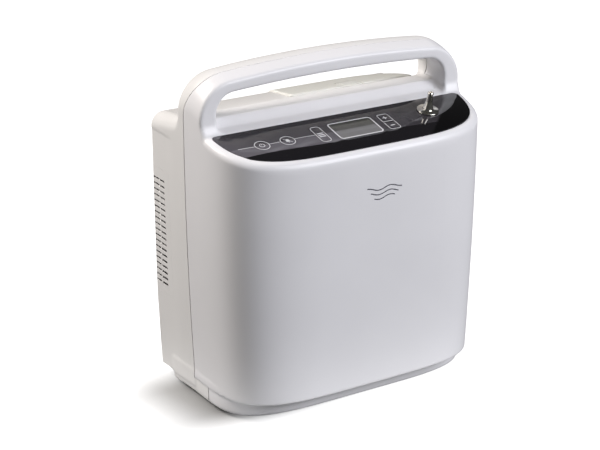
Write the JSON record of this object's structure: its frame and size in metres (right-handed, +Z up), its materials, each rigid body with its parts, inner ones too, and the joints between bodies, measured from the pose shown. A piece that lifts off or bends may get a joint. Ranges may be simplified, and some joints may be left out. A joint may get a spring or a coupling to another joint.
{
  "type": "portable oxygen concentrator",
  "caption": "Portable oxygen concentrator: white two-shell case with a loop handle, sloped black key panel with display, barbed oxygen outlet and a slide-out battery.",
  "frame": {"origin": "on the table under the middle of the case's bounding box", "axes": "+X to the right seen from the front, +Y to the back, +Z up"},
  "size_m": [0.254, 0.1524, 0.292],
  "materials": {
    "white_front": "fine moulded texture, satin",
    "white_rear": "fine moulded texture, satin",
    "gloss_black": "polished, printed from behind",
    "display_grey": "smoked window",
    "nickel": "polished nickel plate",
    "steel": "machined",
    "copper": "drawn copper",
    "aluminium": "cast and machined",
    "rubber": "moulded",
    "black_abs": "moulded",
    "board": "solder mask",
    "foam": "open-cell foam",
    "cell_wrap": "heat-shrink wrap",
    "natural": "natural polymer"
  },
  "bodies": {
    "case": {"front_shell": "white_front", "rear_shell": "white_rear", "panel_overlay": "gloss_black", "display_window": "display_grey", "oxygen_outlet": "nickel", "outlet_nut": "steel", "ui_board": "board", "lcd_module": "display_grey", "buzzer": "black_abs", "power_inlet": "black_abs", "foot_1": "rubber", "foot_2": "rubber", "foot_3": "rubber", "foot_4": "rubber", "case_screw_1": "steel", "case_screw_2": "steel", "case_screw_3": "steel", "case_screw_4": "steel", "chassis": "aluminium", "compressor_housing": "aluminium", "bearing_lower": "steel", "bearing_upper": "steel", "motor_stator": "steel", "fixed_scroll": "aluminium", "isolator_1": "rubber", "isolator_2": "rubber", "isolator_3": "rubber", "sieve_bed_a": "aluminium", "sieve_bed_b": "aluminium", "valve_manifold": "aluminium", "solenoid_valve_1": "black_abs", "solenoid_valve_2": "black_abs", "solenoid_valve_3": "black_abs", "solenoid_valve_4": "black_abs", "product_tank": "natural", "cooling_coil": "copper", "product_hose": "natural", "exhaust_muffler": "black_abs", "intake_filter": "natural", "fan_housing": "black_abs", "main_board": "board", "power_board": "board"},
    "power_key": {"key_power": "gloss_black"},
    "alarm_key": {"key_alarm": "gloss_black"},
    "mode_key": {"key_mode": "gloss_black"},
    "plus_key": {"key_plus": "gloss_black"},
    "minus_key": {"key_minus": "gloss_black"},
    "battery": {"battery_case": "white_rear", "battery_cover": "white_rear", "battery_cells": "cell_wrap", "battery_contacts": "copper"},
    "latch": {"battery_latch": "black_abs"},
    "intake_door": {"filter_door": "white_rear", "filter_foam": "foam"},
    "fan": {"fan_rotor": "black_abs"},
    "crank": {"crankshaft": "steel", "motor_rotor": "copper"},
    "orbiter": {"orbiting_scroll": "aluminium"}
  },
  "joints": [
    {"name": "key_power_press", "type": "slide", "parent": "case", "child": "power_key", "axis": [0, 0.226, -0.9741], "range_m": [0, 0.0006], "stiffness_N_per_m": 400},
    {"name": "key_alarm_press", "type": "slide", "parent": "case", "child": "alarm_key", "axis": [0, 0.226, -0.9741], "range_m": [0, 0.0006], "stiffness_N_per_m": 400},
    {"name": "key_mode_press", "type": "slide", "parent": "case", "child": "mode_key", "axis": [0, 0.226, -0.9741], "range_m": [0, 0.0006], "stiffness_N_per_m": 400},
    {"name": "key_plus_press", "type": "slide", "parent": "case", "child": "plus_key", "axis": [0, 0.226, -0.9741], "range_m": [0, 0.0006], "stiffness_N_per_m": 400},
    {"name": "key_minus_press", "type": "slide", "parent": "case", "child": "minus_key", "axis": [0, 0.226, -0.9741], "range_m": [0, 0.0006], "stiffness_N_per_m": 400},
    {"name": "battery_slide", "type": "slide", "parent": "case", "child": "battery", "axis": [0, 0, 1], "range_m": [0, 0.17]},
    {"name": "latch_slide", "type": "slide", "parent": "battery", "child": "latch", "axis": [0, 1, 0], "range_m": [0, 0.0025], "stiffness_N_per_m": 300},
    {"name": "intake_door_pull", "type": "slide", "parent": "case", "child": "intake_door", "axis": [-1, 0, 0], "range_m": [0, 0.03]},
    {"name": "fan_spin", "type": "hinge", "parent": "case", "child": "fan", "pos_m": [-0.066, 0.049, 0.14], "axis": [0, 1, 0], "continuous": true},
    {"name": "crank_spin", "type": "hinge", "parent": "case", "child": "crank", "pos_m": [-0.066, -0.0195, 0.04], "axis": [0, 0, 1], "continuous": true},
    {"name": "orbit_pin", "type": "hinge", "parent": "crank", "child": "orbiter", "pos_m": [-0.0631, -0.0195, 0.07], "axis": [0, 0, 1], "continuous": true}
  ],
  "couplings": [
    {"joint": "orbit_pin", "follows": "crank_spin", "ratio": -1}
  ]
}
